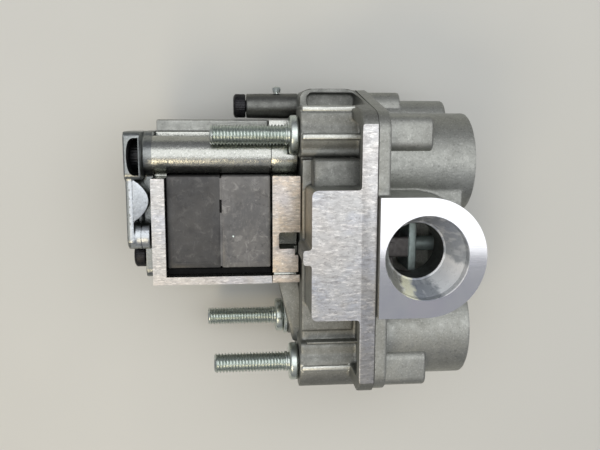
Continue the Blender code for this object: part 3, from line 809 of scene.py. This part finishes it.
def inlet_bore():
    """Cutter for the inlet: a bore with a broken edge, then a cone to the throat."""
    rows = [
        (49.0, THROAT_RADIUS),
        (THROAT_Z, THROAT_RADIUS),
        (THROAT_Z + 0.3, THROAT_RADIUS + 0.2),
        (THROAT_Z + 0.5, THROAT_RADIUS + 0.6),
        (CONE_Z, BORE_RADIUS - 0.15),
        (CONE_Z + 0.2, BORE_RADIUS),
        (INLET_Z - 0.3, BORE_RADIUS),
        (INLET_Z, BORE_RADIUS + 0.25),
        (INLET_Z + 1.0, BORE_RADIUS + 0.25),
    ]
    return lathe(rows, INLET_AXIS, "Z", 128)


def outlet_bore(axis, end):
    """Cutter for an outlet: the seat's bore, the wider bore outside it and its broken edge."""
    rows = [
        (49.0, SEAT_BORE),
        (SEAT_X, SEAT_BORE),
        (SEAT_X, OUTLET_BORE),
        (end - 1.4, OUTLET_BORE),
        (end, OUTLET_BORE + 1.4),
        (end + 1, OUTLET_BORE + 1.4),
    ]
    return lathe(rows, axis, segments=72)


def stud_boss(y, z, end):
    """Square-shouldered boss round a stud's end, standing proud of its barrel."""
    boss = slab(y, z, 4.0, "X", PORT_START, end, 8)
    return soften_edges(boss, 1.0, 4)


def flange_relief(x):
    """Narrow groove where the barrels meet the flange, cut down from both sides of the inlet boss."""
    return [
        block((x, x + 1.2), (22.4, 48.6), (58.0, PAD_Z)),
        block((x, x + 1.2), (-54.0, -22.4), (60.0, PAD_Z)),
    ]


def port_body():
    """Right casting: the flange, the inlet boss, the valve gallery and two outlet barrels."""
    start = PORT_START
    boss_end = 48.7
    gallery_z = (36.0, 62.0)
    solids = [
        prism(hull_outline(flange_circles(PAD_Z - 1.2)), "X", start - SPARE, PORT_FLANGE_END),
        rod(OUTLET_UPPER, 19.5, start, OUTLET_END + 0.5, segments=72),
        rod(OUTLET_LOWER, 21.0, start, OUTLET_END + 0.3, segments=72),
        block((start, 61.5), (-30.0, 27.0), (31.0, 66.0)),
        prism(inlet_outline(21.4, start - SPARE), "Z", 45.0, INLET_Z + SPARE),
        # bosses for the rear stud and the tie screw, one beside the upper barrel, and a thick foot
        rod(STUD_REAR, 7.5, start, 45.0),
        rod(TIE, 5.8, start, 43.6),
        rod((47.0, 31.0), 9.0, start, 62.5),
        block((start, 40.0), (-37.0, 45.0), (14.0, 34.0)),
    ]
    shape = cast(solids)
    upper_boss = stud_boss((36.0, 49.7), (50.0, 70.0), boss_end)
    lower_boss = stud_boss((-55.1, -40.2), (48.0, 70.5), boss_end - 0.3)
    join(shape, [upper_boss, lower_boss])
    tools = [
        block((0, 100), ACROSS, (INLET_Z, INLET_Z + PAST)),
        block((start - PAST, start), ACROSS, UPWARDS),
        # gallery behind the flange, with a deeper pocket in its middle
        block((start - 1, 50.6), (-46.7, 43.0), (36.8, 61.2)),
        block((start - 1, 57.8), (-13.0, 10.0), gallery_z),
        inlet_bore(),
        # hole for the rocker bracket's post
        rod(POST, 3.3, 50.0, 70.0),
        *flange_relief(PORT_FLANGE_END),
    ]
    for axis, end in ((OUTLET_UPPER, OUTLET_END), (OUTLET_LOWER, OUTLET_END - 0.2)):
        tools.append(block((end, end + PAST), (axis[0] - 25, axis[0] + 25), (5, 82)))
        tools.append(outlet_bore(axis, end))
    machine(shape, tools)

    def rim(x, y, z, normal):
        return (x < PORT_FLANGE_END + 0.6) & (z < PAD_Z)

    def bored(x, y, z, normal):
        reach = from_axis(x, y, INLET_AXIS)
        return (reach < BORE_RADIUS + 0.4) & between(z, THROAT_Z, INLET_Z - 0.01)

    # painted light on the gallery's walls
    def gallery(x, y, z, normal):
        within = between(z, gallery_z[0] - 0.1, gallery_z[1] + 0.1)
        return within & between(y, -46.8, 43.2) & (x < SEAT_X - 0.1)

    # painted shade in the throat
    def throat(x, y, z, normal):
        reach = from_axis(x, y, INLET_AXIS)
        return (reach < THROAT_RADIUS + 0.1) & between(z, 60.0, THROAT_Z)

    def outlets(x, y, z, normal):
        within = (normal[:, 0] > 0.99) & (x > OUTLET_END - 0.3)
        for axis in (OUTLET_UPPER, OUTLET_LOWER):
            reach = from_axis(y, z, axis)
            within |= (reach < OUTLET_BORE + 1.5) & (x > SEAT_X - 0.5)
        return within

    materials = [PORT_CAST, RIM_CAST, FACED, BORED, MILLED, GALLERY_LIT_CAST, THROAT_SHADE_CAST]
    rules = [rim, cut_flat(INLET_Z), bored, outlets, gallery, throat]
    piece(shape, "port_body_casting", materials, "port_body", rules)


def solenoid_housing():
    """Cast frame round the coils, open at the top and on the right, with the long screw tube beside them."""
    start, end = HOUSING_LOW.x, HOUSING_HIGH.x
    solids = [
        block((start, end), (-14.5, 26.0), (22.0, FRAME_Z + SPARE)),
        block((start, end - 0.01), (26.0, 47.9), (22.0, 37.0)),
        block((start, end - 0.02), (26.5, 43.0), (34.0, 41.0)),
        rod(COVER_UPPER, TUBE_RADIUS, start, end - 0.03, segments=64),
    ]
    shape = cast(solids, rounds=4)
    join(shape, [rod(COVER_UPPER, TUBE_RADIUS + PROUD, start, end, segments=96)])
    wall_end = 27.4
    window = block((start + 5.0, end + 6.0), (-11.5, wall_end), (25.5, 90.0))
    bores = [
        rod(COVER_UPPER, SCREW_HOLE, start - 5, end + 5),
        rod(SOLENOID, 3.8, start - 5, start + 8),
    ]
    top = block((ACROSS[0], 20), (ACROSS[0], wall_end), (FRAME_Z, FRAME_Z + PAST))
    machine(shape, [top, window, *bores])

    def low_ledge(x, y, z, normal):
        return (y > 43.3) & (z < 38.0)

    materials = [FRAME_CAST, MILLED, PORT_CAST]
    rules = [cut_flat(FRAME_Z), low_ledge]
    piece(shape, "solenoid_frame", materials, "solenoid_housing", rules)


def adapter():
    """Machined block between the housing and the body, with an open slot and the end of the screw tube.

    Some of its parts end a little short of others, which keeps most of their faces out of one plane.
    """
    start, end = ADAPTER_LOW.x, ADAPTER_HIGH.x
    foot = 22.0
    slot_floor = SOLENOID[1] + 9.0
    shape = block((start, end), (5.1, 26.8), (foot, FRAME_Z))
    solids = [
        block((start, end - 0.4), (-10.8, 6.0), (foot, slot_floor)),
        # the slot's closed end, and the block below the slot
        block((start + 0.03, start + 2.6), (-1.6, 5.6), (foot, FRAME_Z)),
        block((start, end - 0.8), (-10.2, -1.1), (foot, FRAME_Z)),
        # lowest strip, and the narrow joint behind it
        block((start, end - 0.2), (-14.3, -11.4), (foot, FRAME_Z - 0.2)),
        block((start + 0.6, end - 1.5), (-12.0, -9.5), (foot, FRAME_Z - 1.6)),
        # bed under the tube, and the tube
        block((start + 0.01, end - 0.3), (20.0, 47.6), (22.2, 36.8)),
        block((start + 0.02, end - 0.9), (24.0, 41.0), (30.0, 42.0)),
        rod(COVER_UPPER, TUBE_RADIUS - 0.1, start, -0.9, segments=64),
    ]
    boolean(shape, solids, "UNION")
    cuts = [
        # the slot, room for the upper stud's collar and lug, and a notch in the right edge
        slab((start + 2.4, 4.0), (-1.1, 5.3), 0.9, "Z", slot_floor + 0.3, 90.0, 4),
        rod(STUD_UPPER, 7.75, -4.7, 4.0),
        block((-0.8, 4.0), (33.0, 60.0), (20.0, 70.0)),
        block((-2.2, 2.0), (-3.6, 0.0), (56.0, 90.0)),
        # the solenoid's stepped bore
        rod(SOLENOID, 8.3, start - 1, -5.0),
        rod(SOLENOID, 4.9, -6.0, 2.0),
    ]
    boolean(shape, cuts)
    soften_edges(shape, 0.35, 2, 40)

    def machined(x, y, z, normal):
        return (normal[:, 2] > 0.9) & (z > FRAME_Z - 0.5)

    # painted shade inside the slot
    def slotted(x, y, z, normal):
        across = between(y, -1.3, 5.5) & (x > start + 2.2)
        return across & between(z, slot_floor - 0.5, FRAME_Z - 0.36)

    materials = [FRAME_CAST, WARM_MILLED, SLOT_SHADE_CAST]
    rules = [machined, slotted]
    piece(shape, "adapter", materials, "adapter_block", rules, sharp=50)


def screw_pocket(outer, face):
    """Cutters for the box round the cover's upper screw: a round pocket with a bowed mouth above it."""
    head_r = 7.0
    depth = face - outer - 1.1
    pocket = rod(COVER_UPPER, head_r, outer - 2, face, segments=64)
    curve = []
    for step in range(21):
        angle = math.pi * step / 20
        x = face - depth * math.sin(angle) ** 0.45
        curve.append((x, COVER_UPPER[0] + head_r * math.cos(angle)))
    mouth = prism(curve, "Z", COVER_UPPER[1], 80.0)
    boolean(pocket, [block((outer - 5, face), (20, 50), (COVER_UPPER[1] + 2.0, 80))])
    return [mouth, pocket]


def end_cover():
    """Cast cover over the solenoid's end: plate, screw-head box, outer wall with its web, and a round lug."""
    outer = COVER_LOW.x
    inner = COVER_HIGH.x
    face = outer + 5.5
    wall = outer + 0.4
    plate_top = 50.0
    lug = (3.8, 55.5)
    solids = [
        slab((-14.4, 43.4), (22.0, plate_top), 3.5, "X", face, inner),
        rod(COVER_UPPER, TUBE_RADIUS, face, inner - 0.05, segments=64),
        slab((25.3, 43.5), (40.0, FRAME_Z - 0.1), 2.6, "X", outer, face + 0.6),
        slab((1.0, 27.5), (40.0, FRAME_Z - 1.0), 1.4, "X", wall, wall + 2.6),
        block((wall + 1.0, face + 0.7), (0.5, 26.5), (40.0, plate_top - 0.4)),
        rod(lug, 5.2, wall, inner - 0.6),
    ]
    shape = cast(solids, voxel=0.4, rounds=4)
    tube = rod(COVER_UPPER, TUBE_RADIUS + PROUD, face + 0.02, HOUSING_LOW.x - 0.03, segments=96)
    join(shape, [cover_web(wall + 1.2, inner - 0.7), tube])
    seam_rows = [(face - 0.2, 4.6), (face - 0.2, 7.0), (face + 0.2, 7.0), (face + 0.2, 4.6)]
    tools = screw_pocket(outer, face)
    tools.append(lathe(seam_rows, lug, ring=True))
    tools.append(rod(COVER_UPPER, SCREW_HOLE, outer - 5, inner + 5))
    machine(shape, tools)

    # painted light on the web's upward-facing faces near the top
    def web(x, y, z, normal):
        near_top = (z > FRAME_Z - 5.0) & (normal[:, 2] > 0.6)
        return near_top & (x > wall + 1.3) & (y < 25.6)

    piece(shape, "end_cover_casting", [COVER_CAST, WEB_LIT_CAST], "end_cover", [web])


def cover_web(start, end):
    """Web that slopes down from the cover's outer wall; seen from above its edge bows outwards."""
    steps = 16
    shoulder = start + 1.8
    outline = [(start, 25.6)]
    for i in range(steps + 1):
        t = i / steps
        bow = math.sin(math.pi * t) ** 0.8
        outline.append((shoulder + (end - shoulder) * bow, 25.4 - 15.4 * t))
    outline.append((start, 6.0))
    web = prism(outline, "Z", 42.0, FRAME_Z + 2.0)
    left, right = start - 3, end + 2
    above = [(left, FRAME_Z - 0.9), (right, FRAME_Z - 2.0), (right, 90.0), (left, 90.0)]
    boolean(web, [prism(above, "Y", -10, 40)])
    return soften_edges(web, 0.35, 2, 40)


# ---------------------------------------------------------------- fasteners


def threaded(axis, start, end, crest, pitch, segments=40, per_pitch=8):
    """Rows of a threaded bar between two stations; its flanks follow a helix."""
    depth = 0.61 * pitch
    steepness = 2.6
    lead_in = 1.0
    rows = int((end - start) / pitch * per_pitch)
    grid = []
    for i in range(rows + 1):
        x = start + (end - start) * i / rows
        fade = min(1.0, (x - start) / pitch, (end - x) / pitch)
        row = []
        for j in range(segments):
            angle = 2 * math.pi * j / segments
            phase = (x / pitch - j / segments) % 1.0
            flank = min(abs(phase - 0.5) * steepness, 1.0)
            r = crest - depth * flank * max(fade, 0.0)
            if x - start < lead_in:
                r = min(r, crest - 0.75 * (lead_in - (x - start)))
            row.append((x, axis[0] + r * math.cos(angle), axis[1] + r * math.sin(angle)))
        grid.append(row)
    return grid


def stud(node, axis):
    """Rolled thread, plain neck, round collar with softened edges, and the end in the casting."""
    low, high = box(node)
    collar_r = (high.y - low.y) / 2
    seat = -0.8 if node != "stud_rear" else -3.9
    collar = seat - 3.4
    grid = threaded(axis, low.x, collar - 0.9, crest=4.0, pitch=1.25)
    rows = [
        (collar - 0.5, 3.55),
        (collar, 3.6),
        (collar, collar_r - 0.9),
        (collar + 0.12, collar_r - 0.45),
        (collar + 0.5, collar_r - 0.08),
        (collar + 1.0, collar_r),
        (seat - 1.0, collar_r),
        (seat - 0.5, collar_r - 0.08),
        (seat - 0.12, collar_r - 0.45),
        (seat, collar_r - 0.9),
        (seat, 3.9),
        (high.x - 0.8, 3.9),
        (high.x, 3.2),
    ]
    grid += [turned_row(x, r, axis) for x, r in rows]
    piece(skin(grid), node + "_threaded", [ZINC], node, sharp=40)


def screw_head(node, axis):
    """Domed black socket screw with a knurled side and a hexagon socket."""
    low, high = box(node)
    radius = (high.y - low.y) / 2
    length = 4.4 if node != "tie_screw" else 5.0
    top = low.x
    face = top + length
    socket = radius * 0.42
    rows = [
        (top + 2.4, 0.05),
        (top + 2.4, socket * 0.97, hexagon),
        (top + 0.35, socket, hexagon),
        (top + 0.12, socket * 1.2),
        (top + 0.0, radius * 0.62),
        (top + 0.12, radius * 0.8),
        (top + 0.55, radius * 0.94),
        (top + 1.0, radius * 0.982, knurl),
        (face - 0.4, radius * 0.982, knurl),
        (face - 0.15, radius * 0.97),
        (face, radius * 0.93),
        (face, radius * 0.5),
        (high.x - 0.6, radius * 0.46),
        (high.x, radius * 0.4),
    ]
    piece(lathe(rows, axis, segments=144), node + "_head", [BLACK], node, sharp=40)


def washer():
    """Plain washer behind the rear stud's collar."""
    low, high = box("stud_rear_washer")
    axis = axis_of("stud_rear_washer")
    outer = (high.y - low.y) / 2
    rows = [
        (low.x, 4.4),
        (low.x, outer - 0.35),
        (low.x + 0.3, outer),
        (high.x - 0.3, outer),
        (high.x, outer - 0.35),
        (high.x, 4.4),
    ]
    piece(lathe(rows, axis, ring=True, segments=72), "rear_washer", [ZINC], "stud_rear_washer")


def bleed_plug():
    """Small plug with a hexagon head, on the tie screw's tube."""
    low, high = box("bleed_plug")
    centre = ((low.x + high.x) / 2, (low.z + high.z) / 2)
    rows = [
        (low.y, 0.8),
        (low.y + 1.7, 0.8),
        (low.y + 1.7, 1.55),
        (high.y - 0.9, 1.62, hexagon),
        (high.y - 0.35, 1.55, hexagon),
        (high.y, 1.1),
    ]
    piece(lathe(rows, centre, "Y", 48), "bleed_plug_hex", [ZINC], "bleed_plug")


# ---------------------------------------------------------------- coils and small pieces


def coil(side):
    """Moulded coil with soft edges, a shallow panel and two moulding marks on its face."""
    node = "coil_case_" + side
    low, high = box(node)
    shape = block((low.x, high.x), (low.y, high.y), (low.z, high.z))
    soften_edges(shape, 0.6, 3)
    above = high.z + 5
    panel = ((low.x + 2.2, high.x - 2.2), (low.y + 2.4, low.y + 11.5))
    tools = [slab(*panel, 0.8, "Z", high.z - 0.15, above, 4)]
    middle = (low.x + high.x) / 2
    for offset in (-4.8, 4.8):
        tools.append(rod((middle + offset, high.y - 7.5), 1.5, high.z - 0.2, above, "Z", 32))
    tools.append(rod(SOLENOID, 9.0, low.x - 1, high.x + 1))
    boolean(shape, tools)
    piece(shape, node + "_moulding", [COILS[side]], node, sharp=25)


def coil_details():
    """Filler between the two coils, a small key in their seam and a pin on the right one."""
    low, high = box("coil_case_left")
    right = box("coil_case_right")[0].x
    seam = (high.x + right) / 2
    filler = block((high.x - 0.4, right + 0.4), (low.y + 0.8, high.y - 0.8), (30.0, high.z - 0.15))
    piece(filler, "coil_seam", [COILS["right"]])
    key = block((seam - 0.5, seam + 0.3), (12.6, 17.6), (high.z - 1.0, high.z + 0.12))
    soften_edges(key, 0.1)
    piece(key, "coil_seam_key", [RUBBER])
    rows = [(high.z - 0.5, 0.5), (high.z + 0.1, 0.5), (high.z + 0.25, 0.35)]
    pin = lathe(rows, (seam + 4.6, 3.4), "Z", 24)
    piece(pin, "coil_test_pin", [ZINC])


def bracket(dark, pale):
    """The rocker's bracket: a plate across the gallery, two ears for the pin and a post into the casting."""
    low, high = box("rocker_bracket")
    plate = high.x - 14.9
    pin = POST[0]
    shape = block((plate - 3.2, plate), (low.y, high.y), (low.z + 0.3, high.z - 0.3))
    soften_edges(shape, 0.5, 3)
    ears = []
    for z in ((low.z, low.z + 3.0), (high.z - 3.0, high.z)):
        ears.append(rib((low.x, plate - 2.6), (pin - 4.0, pin + 4.0), z, 0.8))
    post = lathe([(plate - 1.0, 3.0), (high.x - 0.8, 3.0), (high.x, 2.3)], POST)
    boolean(shape, [*ears, post], "UNION")
    boolean(shape, [rod((box("rocker_pin")[0].x + 2.0, pin), 2.05, 30.0, 70.0, "Z")])

    # painted shade: only the front of the plate keeps the plated colour; the ears and the rest take the dark
    # steel
    def front(x, y, z, normal):
        return x > plate - 3.3

    piece(shape, "rocker_bracket_formed", [dark, pale], "rocker_bracket", [front])


def assign(node, material):
    """Give a CAD node that keeps its own shape a better material."""
    target = frame["nodes"][node]
    for entry in target.material_slots:
        entry.material = material


def inner_pieces():
    """Better materials for the pieces that keep their CAD shape, and the bracket seen through the inlet."""
    steel = inner_metal("turned_steel", (0.16, 0.17, 0.17))
    plated = inner_metal("plated_lever", (0.42, 0.50, 0.48), 0.6, 0.5)
    # painted shade: a dark steel for the bracket's ears, the rocker and its pin, deep in the gallery
    dark = inner_metal("painted_shade_steel", (0.16, 0.15, 0.145), 0.5, 0.6)
    bracket(dark, plated)
    brass = inner_metal("turned_brass", (0.72, 0.56, 0.28), 1.0, 0.25)
    copper = inner_metal("enamelled_copper", (0.70, 0.30, 0.14), 1.0, 0.3)
    nylon = inner_metal("natural_nylon", (0.70, 0.68, 0.60), 0.0, 0.5)
    fibre = rubber("gasket_fibre", (0.34, 0.34, 0.33))
    seal = rubber("seal_rubber", (0.06, 0.045, 0.04))
    groups = {
        RUBBER: ["coil_cushion"],
        fibre: ["body_gasket"],
        seal: ["rod_seal", "upper_seal", "lower_seal"],
        # painted shade on the rocker and its pin
        dark: ["rocker", "rocker_pin"],
        plated: ["rod_nut", "pull_rod", "upper_nut", "lower_nut", "upper_clip", "lower_clip"],
        ZINC: ["adapter_screw_upper", "adapter_screw_lower"],
        steel: [
            "flux_washer_left",
            "flux_washer_right",
            "core_tube",
            "pole_piece",
            "return_spring",
            "plunger",
            "upper_spring",
        ],
        brass: [
            *[f"terminal_{side}_{number}" for side in ("left", "right") for number in (1, 2)],
            "rod_bush",
            "upper_seat",
            "lower_seat",
        ],
        copper: ["winding_left", "winding_right"],
        nylon: ["bobbin_left", "bobbin_right"],
        FACED: ["upper_poppet", "lower_poppet"],
    }
    for material, nodes in groups.items():
        for node in nodes:
            assign(node, material)


# ---------------------------------------------------------------- stage


def floor():
    """Pale table top that the valve lies on."""
    bm = bmesh.new()
    bmesh.ops.create_grid(bm, x_segments=1, y_segments=1, size=1.5)
    mesh = bpy.data.meshes.new("floor")
    bm.to_mesh(mesh)
    bm.free()
    paint = Paint("pale_table", (0.60, 0.60, 0.555), 0.0, 0.6)
    paint.cloud(paint.noise(0.004, 2), 0.3, 0.7, 0.3, (0.66, 0.66, 0.63))
    paint.vary_roughness(paint.noise(0.02, 2), 0.5, 0.6)
    mesh.materials.append(paint.done())
    obj = new_object("floor", mesh)


def light(name, position, target, size, power, colour=(1, 1, 1)):
    """An area light that points at a target, or straight down without one."""
    data = bpy.data.lights.new(name, "AREA")
    data.shape = "RECTANGLE"
    data.size, data.size_y = size
    data.energy = power
    data.color = colour
    obj = new_object(name, data)
    obj.location = position
    if target:
        aim = Vector(target) - Vector(position)
        obj.rotation_euler = aim.to_track_quat("-Z", "Y").to_euler()


def lights():
    """Overhead softbox over the far half of the table, a warm lamp and a dim cool room."""
    world = bpy.data.worlds.new("studio")
    bpy.context.scene.world = world
    bpy.context.scene.view_settings.view_transform = "Standard"
    world.use_nodes = True
    nodes = world.node_tree.nodes
    background = nodes["Background"]
    direction = nodes.new("ShaderNodeTexCoord")
    parts = nodes.new("ShaderNodeSeparateXYZ")
    world.node_tree.links.new(direction.outputs["Generated"], parts.inputs["Vector"])
    strength = map_range(world.node_tree, parts.outputs["Z"], 0.1, 0.9, 0.26, 0.60)
    world.node_tree.links.new(strength, background.inputs["Strength"])
    background.inputs["Color"].default_value = (0.80, 0.81, 0.86, 1.0)
    # The softbox's near edge shows as the change of tone across the inlet's face.
    height = 1.09
    near = -0.203
    depth = 1.15
    light("overhead", (0.05, near + depth / 2, height), None, (1.5, depth), 8.2)
    light("warm_lamp", (-0.30, -0.42, 0.70), (0.0, 0.0, 0.04), (0.30, 0.30), 1.6, (1.0, 0.84, 0.58))


def camera():
    """Close above the valve and tilted a little, to look from where the photograph seems to."""
    data = bpy.data.cameras.new("camera")
    data.lens = 39.9
    data.sensor_width = 36.0
    data.clip_start = 0.01
    obj = new_object("camera", data)
    # The picture's right and up, as directions in the frame.
    right = Vector((0.99544, 0.00296, 0.09530))
    up = Vector((0.01167, 0.98822, -0.15262))
    back = right.cross(up)
    rotation = Matrix((right, up, back)).transposed().to_4x4()
    obj.matrix_world = Matrix.Translation((-0.0243, 0.047 + MID_Y * MM, 0.312)) @ rotation
    bpy.context.scene.camera = obj


main_body()
tie_screw_tube()
port_body()
solenoid_housing()
adapter()
end_cover()
for stud_node, stud_axis in STUDS.items():
    stud(stud_node, stud_axis)
washer()
for screw_node, screw_axis in SCREWS.items():
    screw_head(screw_node, screw_axis)
bleed_plug()
coil("left")
coil("right")
coil_details()
inner_pieces()
floor()
lights()
camera()
